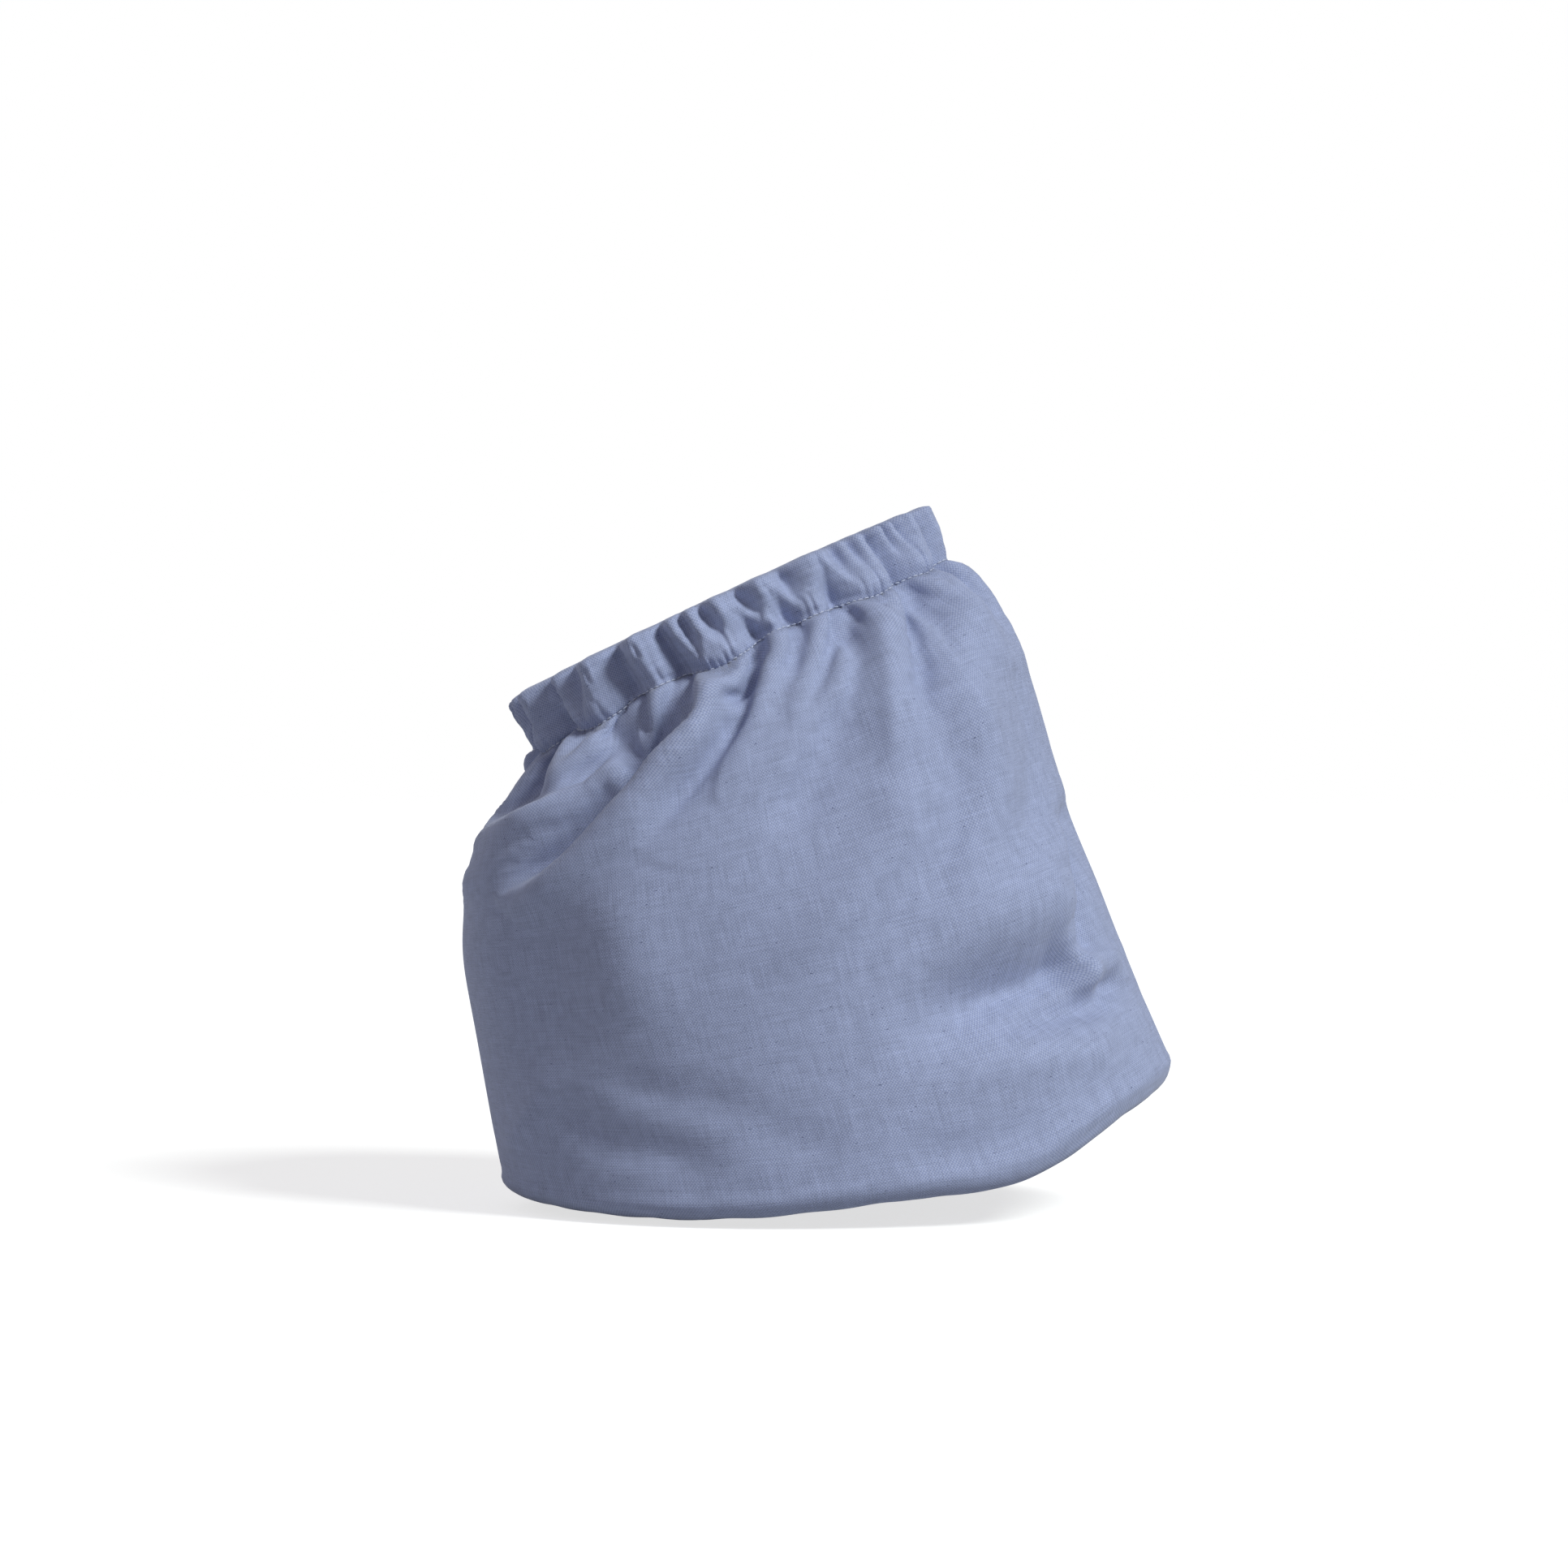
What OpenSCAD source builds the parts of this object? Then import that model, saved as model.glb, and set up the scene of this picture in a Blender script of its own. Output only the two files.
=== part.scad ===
// Soft recovery collar: a tube of cotton cloth, gathered on an elastic at each end.
// It has the shape that it takes when worn. +Z is up, -X is the front, and the origin is the centre of
// the neck opening. The tube hangs from the gathered neck casing, swells out below it, rolls under at
// the bottom edge and runs up inside to a second gathered casing, which closes the shoulder opening.
// Angles round the tube: 0 is the back, 90 the far side, 180 the front and 270 the near side.

/* [Cloth] */
// Thickness of the cloth
cloth_t = 0.5; // [0.3:0.1:0.8]
// Width of the cut cloth, which is the way round the tube
cloth_w = 650; // [600:10:720]
// Diameter of the sewing thread
thread_d = 0.6; // [0.3:0.1:0.8]

/* [Neck opening] */
// Front to back, inside the neck elastic
neck_len = 136; // [115:1:160]
// Side to side, inside the neck elastic
neck_wid = 110; // [90:1:130]
// Tilt of the neck opening, back edge up
neck_tilt = 25; // [12:1:34]

/* [Shoulder opening] */
// Front to back, inside the shoulder elastic
shoulder_len = 168; // [150:1:176]
// Side to side, inside the shoulder elastic
shoulder_wid = 124; // [105:1:132]
// Height of the shoulder casing's stitch row above the middle of the rolled edge
shoulder_rise = 2; // [0:1:10]

/* [Elastic and casings] */
// Width of the flat elastic
elastic_w = 15; // [10:1:20]
// Thickness of the flat elastic
elastic_t = 1; // [0.6:0.1:1.4]
// Length of the sewn lap where the ends of the elastic meet
elastic_lap = 12; // [8:1:14]
// Height of a casing below the elastic, where its two layers are drawn together
casing_foot = 6; // [5:0.5:9]
// Height of the stitch row above the bottom of a casing
stitch_h = 2; // [1:0.5:3]
// How many gathers lie round a casing
gathers = 19; // [13:1:23]

/* [Body] */
// Height from the rolled edge to the centre of the neck opening
body_drop = 163; // [140:1:190]
// How far the rolled edge lies behind the neck opening
body_back = 35; // [15:1:50]
// Front to back, outside the rolled edge
roll_len = 229; // [222:1:250]
// Side to side, outside the rolled edge
roll_wid = 180; // [172:1:200]
// Tilt of the rolled edge, back edge up
roll_tilt = 9.5; // [4:0.5:14]
// Radius of the rolled edge
roll_r = 8; // [5:1:11]
// How far the rolled edge hangs lower at the sides
roll_dip = 15.5; // [8:0.5:24]
// How far it sags below that, towards the back of the near side
roll_sag = 6.5; // [0:0.5:10]
// How far the tube swells beyond a straight taper at the front and back
belly = 15; // [8:1:18]
// How far the tube swells beyond a straight taper at the sides
side_belly = 24; // [12:1:28]
// How far the back puffs out just below the neck casing
back_puff = 6.5; // [3:0.5:9]
// How far the front is drawn in just below the neck casing
front_draw = 3.5; // [0:0.5:6]
// How far the front swells half way down
front_puff = 3.5; // [0:0.5:6]
// Depth of the dent low down on the near side, towards the back
dent_depth = 7; // [3:0.5:10]
// Depth of the main folds that run down from the gathers
fold_depth = 7; // [3:0.5:9]

/* [Side seam] */
// Depth of the sewn-together edges that stand inside the tube
seam_depth = 8; // [6:1:12]
// Distance of the seam's stitch row from the wall of the tube
seam_stitch_in = 2; // [1.5:0.5:3]
// Width of the overlocked edge
overlock_w = 3; // [2:0.5:4]

/* [Hidden] */

// Colours of the cloth, its thread and the white elastic
cloth_colour = "#8f9cc4";
thread_colour = "#a9b3cf";
elastic_colour = "#eceae4";

// Clearance where one piece seats on another
seat_gap = 0.3;
// Clearance between the two layers of cloth at a stitch row, and between the laps of an elastic
layer_gap = 0.15;
// Share of its natural depth that a gather keeps once the elastic draws it up
gather_draw = 0.6;
// Share of a gather's depth that is left where a stitch row holds it
stitch_draw = 0.6;
// Depth of a gather on the inner layer of a casing, which lies flatter than the outer one
inner_gather = 1.5;
// How far the cloth of the near side leans to the front on its way down, in degrees, and where it leans most
near_lean = 30;
lean_level = 0.4;
// Share of the way down at which the gathers have faded to a third
gather_fade = 0.12;
// How early, on the way down, the wall loses its tilt, moves back, swells, folds and dips at the sides
tilt_ease = 2.2;
back_ease = 1.6;
swell_ease = 0.55;
dip_ease = 1.5;
sag_ease = 3;
// Points round the tube: four to each gather
samples = 4 * gathers;
step_deg = 360 / samples;
// Turns of zigzag in the tack on an elastic's lap, and its margin from the elastic's edges
tack_legs = 6;
tack_margin = 2.5;
// Sides of the round thread
thread_sides = 4;

// The seam lies on the far side, in the hollow of a gather, at this count of points from the back
seam_i = 4 * round(gathers / 4);
// The elastic is joined on the far side too, in the crest of a gather
lap_middle = 360 / gathers * (round(gathers / 4) - 0.5);
lap_ramp_deg = 4;

// Casing levels, up from its bottom edge
elastic_low = casing_foot;
elastic_high = elastic_low + elastic_w;
casing_h = elastic_high + cloth_t + 2 * seat_gap;
// Radii of a casing, out from the inside face of its elastic
outer_out = elastic_t + seat_gap + cloth_t;
inner_out = -seat_gap - cloth_t;
function stitch_out(wave, depth) = outer_out + stitch_draw * depth * (1 + wave);

// Half lengths and half widths of the two openings and of the rolled edge
neck_half = [neck_len / 2, neck_wid / 2];
shoulder_half = [shoulder_len / 2, shoulder_wid / 2];
roll_half = [roll_len / 2, roll_wid / 2];
// Places of the two casings and of the rolled edge: a centre, and a height up the tilted axis there
neck_centre = [0, 0, 0];
neck_low = -casing_h / 2;
roll_centre = [body_back, 0, -body_drop];

// Way round an oval of these half sizes, near enough
function way_round(half) = 2 * PI * sqrt((half.x * half.x + half.y * half.y) / 2);
// Depth of each gather when the whole width of the cloth is drawn up to this oval
function gather_depth(half) =
    gather_draw * way_round(half) / gathers / PI * sqrt(max(0.05, cloth_w / way_round(half) - 1));
neck_gather = gather_depth(neck_half);
shoulder_gather = gather_depth(shoulder_half);

// Gathers round the tube, from -1 in a hollow to 1 on a crest
function gather_wave(angle) = -cos(gathers * angle);

// Main folds of the wall: [angle and level of the top end, angle and level of the foot, height, half width].
// Levels are shares of the way down, heights are shares of fold_depth, and angles and widths are in degrees.
main_folds = [[266, 0.04, 212, 0.46, 1.2, 6],
              [258, 0.02, 203, 0.42, -1.1, 5],
              [244, 0.10, 186, 0.30, 1, 6],
              [240, 0.03, 190, 0.24, -0.8, 6],
              [275, 0.01, 243, 0.42, -0.9, 5],
              [295, 0.12, 266, 0.48, -0.7, 8],
              [315, 0.01, 297, 0.38, -1, 5],
              [104, 0.02, 150, 0.40, -0.6, 6],
              [45, 0.03, 60, 0.40, -0.6, 6]];
// Broad swells and dents of the wall: [angle, level, spread in degrees, spread in level, height]
swells = [[0, 0.15, 45, 0.17, back_puff],
          [180, 0.10, 45, 0.10, -front_draw],
          [180, 0.42, 50, 0.20, front_puff],
          [308, 0.70, 18, 0.08, -dent_depth]];
// Place and spread of the sag, and the spread round the front over which the folds die out, in degrees
sag_angle = 302;
sag_spread = 18;
front_spread = 22;

// Angle from one place round the tube to another, and a round hump over such an angle or length
function angle_off(angle, middle) = (angle - middle + 540) % 360 - 180;
function hump(off, spread) = exp(-pow(off / spread, 2));
function sum(list) = len(list) == 0 ? 0 : list * [for (item = list) 1];

// A point on a tilted oval ring, hung lower at its sides by dip
function ring_point(centre, tilt, half, height, dip, angle) =
    let (x = half.x * cos(angle), z = height - dip * pow(sin(angle), 2))
    [centre.x + x * cos(tilt) - z * sin(tilt),
     half.y * sin(angle),
     centre.z + x * sin(tilt) + z * cos(tilt)];

// Place of a point in a neck ring or in a shoulder ring, at a distance out from the elastic
function neck_point(out, height, angle) =
    ring_point(neck_centre, neck_tilt, neck_half + [out, out], neck_low + height, 0, angle);
function shoulder_point(out, height, angle) =
    ring_point(roll_centre, roll_tilt, shoulder_half + [out, out],
               shoulder_rise + height, roll_dip, angle);
function end_point(neck, out, height, angle) =
    neck ? neck_point(out, height, angle) : shoulder_point(out, height, angle);

// Angles of the points round the tube
angles = [for (i = [0 : samples - 1]) i * step_deg];

// Vectors on a grid of points, whose rows are closed rings
function unit(v) = v / norm(v);
function wrap(row, i) = row[(i + len(row)) % len(row)];
function grid_normal(grid, j, i) =
    let (round_way = wrap(grid[j], i + 1) - wrap(grid[j], i - 1),
         down_way = grid[min(j + 1, len(grid) - 1)][i] - grid[max(j - 1, 0)][i])
    unit(cross(down_way, round_way));
function lift(grid, distance) =
    [for (j = [0 : len(grid) - 1])
        [for (i = [0 : len(grid[j]) - 1]) grid[j][i] + distance * grid_normal(grid, j, i)]];
function mix(a, b, share) = a + (b - a) * share;

// Triangles of a skin over rows of points. Each row is a closed ring, and closed joins last to first. From
// the point number turn_from on, the diagonals lean the other way.
function skin_faces(rows, count, closed, turn_from) =
    [for (j = [0 : rows - (closed ? 1 : 2)])
        for (i = [0 : count - 1])
            let (a = j * count + i,
                 b = j * count + (i + 1) % count,
                 c = (j + 1) % rows * count + (i + 1) % count,
                 d = (j + 1) % rows * count + i)
            each i < turn_from ? [[a, c, b], [a, d, c]] : [[a, d, b], [b, d, c]]];

// A sheet of cloth over a grid of rings, with its thickness behind the grid. Both skins are split along the
// same diagonals, so that they stay apart where the cloth twists, and a rim closes each edge.
module cloth_shell(grid, turn_from) {
    rows = len(grid);
    count = len(grid[0]);
    back = lift(grid, -cloth_t);
    back_faces = skin_faces(rows, count, false, turn_from);
    front = rows * count;
    front_faces = [for (face = back_faces) [face[0], face[2], face[1]] + front * [1, 1, 1]];
    rim_faces = [for (i = [0 : count - 1])
        let (next = (i + 1) % count,
             last = (rows - 1) * count)
        each [[i, next, front + next], [i, front + next, front + i],
              [last + i, front + last + next, last + next],
              [last + i, front + last + i, front + last + next]]];
    polyhedron([for (row = concat(back, grid)) each row], concat(back_faces, front_faces, rim_faces));
}

// A bar swept along stations, each a small ring of corners, with its two ends capped. The first half of
// the corners runs along one side of the section and the second half back along the other.
module swept_bar(stations) {
    count = len(stations[0]);
    last = (len(stations) - 1) * count;
    caps = [for (k = [0 : count / 2 - 2])
        let (b = k + 1,
             c = count - 2 - k,
             d = count - 1 - k)
        each [[k, b, c], [k, c, d],
              [last + k, last + c, last + b], [last + k, last + d, last + c]]];
    polyhedron([for (row = stations) each row],
               concat(skin_faces(len(stations), count, false, count), caps));
}

// A round thread along a closed ring of points, with out giving the way off the cloth at each point
module thread_ring(path, out) {
    rings = [for (i = [0 : len(path) - 1])
        let (along = unit(wrap(path, i + 1) - wrap(path, i - 1)),
             side = unit(cross(along, out[i])))
        [for (k = [0 : thread_sides - 1])
            let (turn = 360 * k / thread_sides)
            path[i] + thread_d / 2 * (cos(turn) * out[i] + sin(turn) * side)]];
    polyhedron([for (row = rings) each row], skin_faces(len(rings), thread_sides, true, thread_sides));
}

// Casing: the end of the cloth turned over to make a channel for the elastic.
// Each row is [distance out from the elastic, height], for a gather wave between -1 and 1. The rows run
// from the foot of the inner layer, up over the elastic and down to the foot of the outer layer.
function casing_rows(wave, depth) =
    let (stitched = stitch_out(wave, depth),
         outer = outer_out + depth * (1 + wave),
         inner = inner_out - inner_gather * (1 + wave))
    [[stitched - 2 * cloth_t - layer_gap, stitch_h / 2],
     [inner, elastic_low - seat_gap],
     [inner, elastic_high],
     [(outer + inner) / 2, casing_h],
     [outer, elastic_high],
     [outer, elastic_low - seat_gap],
     [stitched, stitch_h],
     [stitched, 0]];

function casing_grid(neck, depth) =
    let (profiles = [for (angle = angles) casing_rows(gather_wave(angle), depth)])
    [for (j = [0 : len(profiles[0]) - 1])
        [for (i = [0 : samples - 1])
            end_point(neck, profiles[i][j].x, profiles[i][j].y, angles[i])]];

neck_grid = casing_grid(true, neck_gather);
shoulder_grid = casing_grid(false, shoulder_gather);

// Body: the wall of the tube from the neck stitch row down to the rolled edge.
// down runs from 0 at the neck stitch row to 1 where the roll begins.
top_centre = [-neck_low * sin(neck_tilt), 0, neck_low * cos(neck_tilt)];
top_half = neck_half + [1, 1] * stitch_out(0, neck_gather);

function wall_centre(down) =
    [mix(top_centre.x, roll_centre.x, pow(down, back_ease)), 0, mix(top_centre.z, roll_centre.z, down)];
function wall_tilt(down) = mix(neck_tilt, roll_tilt, 1 - pow(1 - down, tilt_ease));
function wall_half(down) =
    mix(top_half, roll_half, down) + [belly, side_belly] * sin(180 * pow(down, swell_ease));
function wall_gather(angle, down) =
    stitch_draw * neck_gather * exp(-down / gather_fade) * gather_wave(angle);
function wall_folds(angle, down) =
    (1 - hump(angle_off(angle, 180), front_spread)) * sum([for (fold = main_folds)
        let (along = (down - fold[1]) / (fold[3] - fold[1]))
        along <= 0 || along >= 1 ? 0 :
            fold_depth * fold[4] * sin(180 * pow(along, 0.6))
            * hump(angle_off(angle, mix(fold[0], fold[2], along)), fold[5])]);
function wall_swells(angle, down) =
    sum([for (swell = swells)
        swell[4] * hump(angle_off(angle, swell[0]), swell[2]) * hump(down - swell[1], swell[3])]);
function sag(angle) = roll_sag * hump(angle_off(angle, sag_angle), sag_spread);
function lean(angle, down) =
    near_lean * pow(max(0, -sin(angle)), 0.7)
    * (down < lean_level ? down / lean_level : (1 - down) / (1 - lean_level));
function wall_ring(down) =
    [for (angle = angles)
        let (place = angle - lean(angle, down),
             shaped = down == 0 ? 0 : wall_folds(place, down) + wall_swells(place, down),
             out = wall_gather(angle, down) + shaped)
        ring_point(wall_centre(down), wall_tilt(down), wall_half(down) + [out, out],
                   down == 0 ? -seat_gap : -sag(place) * pow(down, sag_ease),
                   roll_dip * pow(down, dip_ease), place)];

// The roll turns under, then the cloth runs in to the shoulder stitch row
function roll_ring(turn) =
    [for (angle = angles)
        ring_point(roll_centre, roll_tilt, roll_half - [1, 1] * roll_r * (1 - cos(turn)),
                   -roll_r * sin(turn) - sag(angle), roll_dip, angle)];
tuck_ring =
    [for (angle = angles)
        shoulder_point(stitch_out(gather_wave(angle), shoulder_gather) - cloth_t / 2,
                       -seat_gap - cloth_t, angle)];

wall_levels = [0, 0.1, 0.22, 0.38, 0.7, 1];
roll_turn = 65;
body_grid = concat([for (down = wall_levels) wall_ring(down)], [roll_ring(roll_turn), tuck_ring]);

module body_panel() {
    color(cloth_colour) cloth_shell(body_grid, samples / 2);
}

module neck_casing() {
    color(cloth_colour) cloth_shell(neck_grid, samples);
}

module shoulder_casing() {
    color(cloth_colour) cloth_shell(shoulder_grid, samples);
}

// Flat elastic: one length, bent to a ring, with its end lapped over its start
function lap_deg(neck) =
    elastic_lap / (2 * PI * (neck ? neck_half.x : shoulder_half.x)) * 360;
function lap_start(neck) = lap_middle - lap_deg(neck) / 2;

module elastic(neck) {
    start = lap_start(neck);
    lap = elastic_t + layer_gap;
    turns = concat([for (i = [0 : samples]) [start + (360 - lap_ramp_deg) * i / samples, 0]],
                   [[start + 360, lap],
                    [start + 360 + lap_deg(neck) / 2, lap],
                    [start + 360 + lap_deg(neck), lap]]);
    swept_bar([for (turn = turns)
        [end_point(neck, turn[1], elastic_low, turn[0]),
         end_point(neck, turn[1], elastic_high, turn[0]),
         end_point(neck, turn[1] + elastic_t, elastic_high, turn[0]),
         end_point(neck, turn[1] + elastic_t, elastic_low, turn[0])]]);
}

module neck_elastic() {
    color(elastic_colour) elastic(true);
}

module shoulder_elastic() {
    color(elastic_colour) elastic(false);
}

// A straight stitch between two points
module stitch(p, q) {
    way = q - p;
    translate(p)
        rotate([0, acos(way.z / norm(way)), atan2(way.y, way.x)])
            cylinder(h = norm(way), d = thread_d, $fn = 16);
}

// Zigzag tack through the lap of an elastic: separate legs across its outer face
module elastic_tack(neck) {
    out = 2 * elastic_t + layer_gap + seat_gap + thread_d / 2;
    low = elastic_low + tack_margin;
    high = elastic_high - tack_margin;
    pitch = lap_deg(neck) / (tack_legs + 1);
    for (k = [0 : tack_legs - 1]) {
        near_end = lap_start(neck) + pitch * (k + 0.7);
        far_end = near_end + pitch * 0.6;
        stitch(end_point(neck, out, k % 2 == 0 ? low : high, near_end),
               end_point(neck, out, k % 2 == 0 ? high : low, far_end));
    }
}

module neck_elastic_tack() {
    color(thread_colour) elastic_tack(true);
}

module shoulder_elastic_tack() {
    color(thread_colour) elastic_tack(false);
}

// Stitch row round a casing, on the face that shows, at a share of the way from its foot to the next row.
// It closes the channel below the elastic.
module stitch_row(grid, foot, next, share, gap) {
    out = [for (i = [0 : samples - 1]) grid_normal(grid, foot, i)];
    path = [for (i = [0 : samples - 1])
        mix(grid[foot][i], grid[next][i], share) + (thread_d / 2 + gap) * out[i]];
    thread_ring(path, out);
}

module neck_stitching() {
    foot = len(neck_grid) - 1;
    color(thread_colour) stitch_row(neck_grid, foot, foot - 1, 0.5, seat_gap);
}

module shoulder_stitching() {
    color(thread_colour) stitch_row(shoulder_grid, 0, 1, 0.2, 2 * seat_gap);
}

// Side seam: the two edges of the cut cloth, sewn and overlocked together, stand into the tube.
// Each station is [root on the inside of the wall, way in].
seam_levels = len(wall_levels);
seam_line = [for (j = [0 : seam_levels - 1]) body_grid[j][seam_i]];
seam_across = unit(body_grid[seam_levels - 1][seam_i + 1] - body_grid[seam_levels - 1][seam_i - 1]);
seam_stations =
    [for (j = [0 : seam_levels - 1])
        let (along = seam_line[min(j + 1, seam_levels - 1)] - seam_line[max(j - 1, 0)],
             way_in = unit(cross(seam_across, along)))
        [seam_line[j] + (cloth_t + seat_gap) * way_in, way_in]];

// A bar along the seam, with its cross-section given as [depth in, distance across] corners
module seam_bar(corners) {
    swept_bar([for (place = seam_stations)
        [for (corner = corners) place[0] + corner.x * place[1] + corner.y * seam_across]]);
}

module seam_allowance() {
    color(cloth_colour)
        seam_bar([[0, cloth_t], [0, -cloth_t], [seam_depth, -cloth_t], [seam_depth, cloth_t]]);
}

module seam_stitching() {
    low = cloth_t + layer_gap;
    color(thread_colour)
        seam_bar([[seam_stitch_in, low + thread_d], [seam_stitch_in, low],
                  [seam_stitch_in + thread_d, low], [seam_stitch_in + thread_d, low + thread_d]]);
}

module seam_overlock() {
    in = cloth_t + layer_gap;
    out = in + thread_d;
    deep = seam_depth - overlock_w;
    edge = seam_depth + layer_gap;
    color(thread_colour)
        seam_bar([[deep, in], [edge, in], [edge, -in], [deep, -in],
                  [deep, -out], [edge + thread_d, -out], [edge + thread_d, out], [deep, out]]);
}

body_panel();
neck_casing();
neck_elastic();
neck_elastic_tack();
neck_stitching();
shoulder_casing();
shoulder_elastic();
shoulder_elastic_tack();
shoulder_stitching();
seam_allowance();
seam_stitching();
seam_overlock();
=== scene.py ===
"""A soft recovery collar: one tube of blue cotton, gathered on an elastic at each end."""
import math

import bpy
import numpy as np
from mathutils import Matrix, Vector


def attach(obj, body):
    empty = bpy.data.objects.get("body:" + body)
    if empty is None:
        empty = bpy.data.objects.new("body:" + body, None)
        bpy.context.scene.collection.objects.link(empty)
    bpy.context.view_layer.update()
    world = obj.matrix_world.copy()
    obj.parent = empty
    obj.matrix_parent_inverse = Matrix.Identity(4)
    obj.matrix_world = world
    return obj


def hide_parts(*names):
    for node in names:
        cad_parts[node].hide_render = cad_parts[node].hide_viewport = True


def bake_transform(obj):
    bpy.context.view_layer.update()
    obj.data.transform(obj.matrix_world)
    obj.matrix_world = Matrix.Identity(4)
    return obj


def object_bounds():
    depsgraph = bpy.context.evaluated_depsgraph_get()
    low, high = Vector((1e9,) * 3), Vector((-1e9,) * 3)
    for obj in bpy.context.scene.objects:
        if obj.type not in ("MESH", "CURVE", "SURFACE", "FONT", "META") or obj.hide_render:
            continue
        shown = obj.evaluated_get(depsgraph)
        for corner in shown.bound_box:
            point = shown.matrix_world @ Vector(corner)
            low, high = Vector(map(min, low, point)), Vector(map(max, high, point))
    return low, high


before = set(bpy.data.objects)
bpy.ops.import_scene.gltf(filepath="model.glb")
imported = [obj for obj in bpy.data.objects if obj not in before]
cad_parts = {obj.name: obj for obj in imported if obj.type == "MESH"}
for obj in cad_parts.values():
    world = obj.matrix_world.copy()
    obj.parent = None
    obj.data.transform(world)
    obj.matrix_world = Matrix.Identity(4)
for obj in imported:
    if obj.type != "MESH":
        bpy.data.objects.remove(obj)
solid_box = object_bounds()

# The cut cloth
# One rectangle of plain-woven cotton is sewn to a tube, and each end is turned over an elastic and
# stitched down. It is laid out here in millimetres as rows round the tube, from the foot of the neck
# casing's inner layer, over the top, down the wall, under the rolled edge and over the shoulder elastic.
MM = 0.001
POINTS_ROUND = 384
LAYER_ROWS, TURN_ROWS, WALL_ROWS, ROLL_ROWS = 12, 4, 96, 20
SEAM_ANGLE = 94.737                        # the side seam, on the far side
LAP_ANGLE = 85.0                           # where the ends of each elastic lap

NECK_CENTRE = np.zeros(3)
NECK_TILT = 25.0
NECK_HALF = np.array([68.0, 55.0])         # inside of the neck elastic, to the front and to the side
SHOULDER_HALF = np.array([84.0, 62.0])     # inside of the shoulder elastic
SHOULDER_RISE = 2.0
ROLL_CENTRE = np.array([35.0, 0.0, -163.0])
ROLL_TILT = 9.5
ROLL_HALF = np.array([114.5, 90.0])
ROLL_RADIUS = 8.0
ROLL_DIP = 15.5                            # how far the rolled edge hangs lower at the sides
ROLL_SAG, ROLL_SAG_ANGLE = 6.5, 302.0      # and lower again towards the back of the near side
WALL_BELLY = np.array([15.0, 24.0])
CASING_HEIGHT = 22.1
STITCH_HEIGHT = 2.0                        # stitch row above the foot of a casing
OUTER_LAYER, INNER_LAYER = 1.75, -0.75     # the casing's two layers, out from the inside of the elastic

NECK_FULLNESS, SHOULDER_FULLNESS = 630.0, 590.0       # way round the gathered cloth at each end
NECK_PUFF, SHOULDER_PUFF = 11.0, 7.5       # furthest that a gather may stand out at each end
STITCH_WAVER = 0.9                         # how far the neck stitch row wavers up and down
chance = np.random.default_rng(11)


def mix(a, b, f):
    return a + (b - a) * f


def ease(f):
    f = np.clip(f, 0.0, 1.0)
    return f * f * (3 - 2 * f)


def even_angles(half):
    """Angles that space the points evenly round an oval, starting from the seam."""
    turn = np.linspace(0.0, 2 * np.pi, 1441) + math.radians(SEAM_ANGLE)
    speed = np.hypot(half[0] * np.sin(turn), half[1] * np.cos(turn))
    way = np.concatenate([[0.0], np.cumsum(0.5 * (speed[1:] + speed[:-1]))])
    return np.interp(np.arange(POINTS_ROUND) / POINTS_ROUND * way[-1], way, turn)


def oval_row(centre, tilt, half, height, dip, out=0.0):
    """One row of points on a tilted oval, out being how far each point stands out from it."""
    lean = math.radians(tilt)
    angle = even_angles(half)
    x = (half[0] + out) * np.cos(angle)
    y = (half[1] + out) * np.sin(angle)
    z = height - dip * np.sin(angle) ** 2
    return np.stack([centre[0] + x * math.cos(lean) - z * math.sin(lean), centre[1] + y,
                     centre[2] + x * math.sin(lean) + z * math.cos(lean)], axis=-1)


def away_from(angle, middle):
    return (np.degrees(angle) - middle + 180) % 360 - 180


def roll_sag(angle):
    return ROLL_SAG * np.exp(-(away_from(angle, ROLL_SAG_ANGLE) / 18) ** 2)


def wall_swell(angle, down):
    """Broad swells that the wall has beyond its oval."""
    out = np.zeros(len(angle))
    for middle, level, spread, reach, height in WALL_SWELLS:
        out += height * np.exp(-(away_from(angle, middle) / spread) ** 2 - ((down - level) / reach) ** 2)
    return out * ease(down / 0.03)


def way_round(row):
    return np.linalg.norm(np.roll(row, -1, axis=0) - row, axis=1).sum()


def softened(wave, width):
    """Rows of values round the tube, blurred over so many points."""
    k = np.fft.rfftfreq(wave.shape[-1])
    return np.fft.irfft(np.fft.rfft(wave) * np.exp(-2 * (np.pi * k * width) ** 2), wave.shape[-1])


def slid(wave, by):
    """A wave moved round the tube by so many points, which may differ from place to place."""
    place = np.arange(POINTS_ROUND)
    return np.interp((place + by) % POINTS_ROUND, np.arange(POINTS_ROUND + 1), np.append(wave, wave[0]))


def unit_wave(wave):
    return (wave - wave.mean()) / wave.std()


def puffs(edges, sharp):
    """Puffs of cloth between places where it is drawn in: a wide puff stands out further."""
    width = np.diff(edges)
    place = np.arange(POINTS_ROUND)
    place = np.where(place < edges[0], place + POINTS_ROUND, place)
    which = np.clip(np.searchsorted(edges, place, side="right") - 1, 0, len(width) - 1)
    across = (place - edges[which]) / width[which]
    high = np.minimum((width / width.mean()) ** 0.6 * chance.uniform(0.75, 1.25, len(width)), 1.1)
    return 1.25 * softened(high[which] * np.sin(np.pi * across) ** sharp, 0.7) - 0.25


def pinched_at(angles):
    """Puffs between pinches at these angles round the neck, in degrees."""
    edges = np.interp(np.radians(angles), even_angles(NECK_HALF), np.arange(POINTS_ROUND))
    return puffs(np.append(edges, edges[0] + POINTS_ROUND), 0.6)


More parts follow.
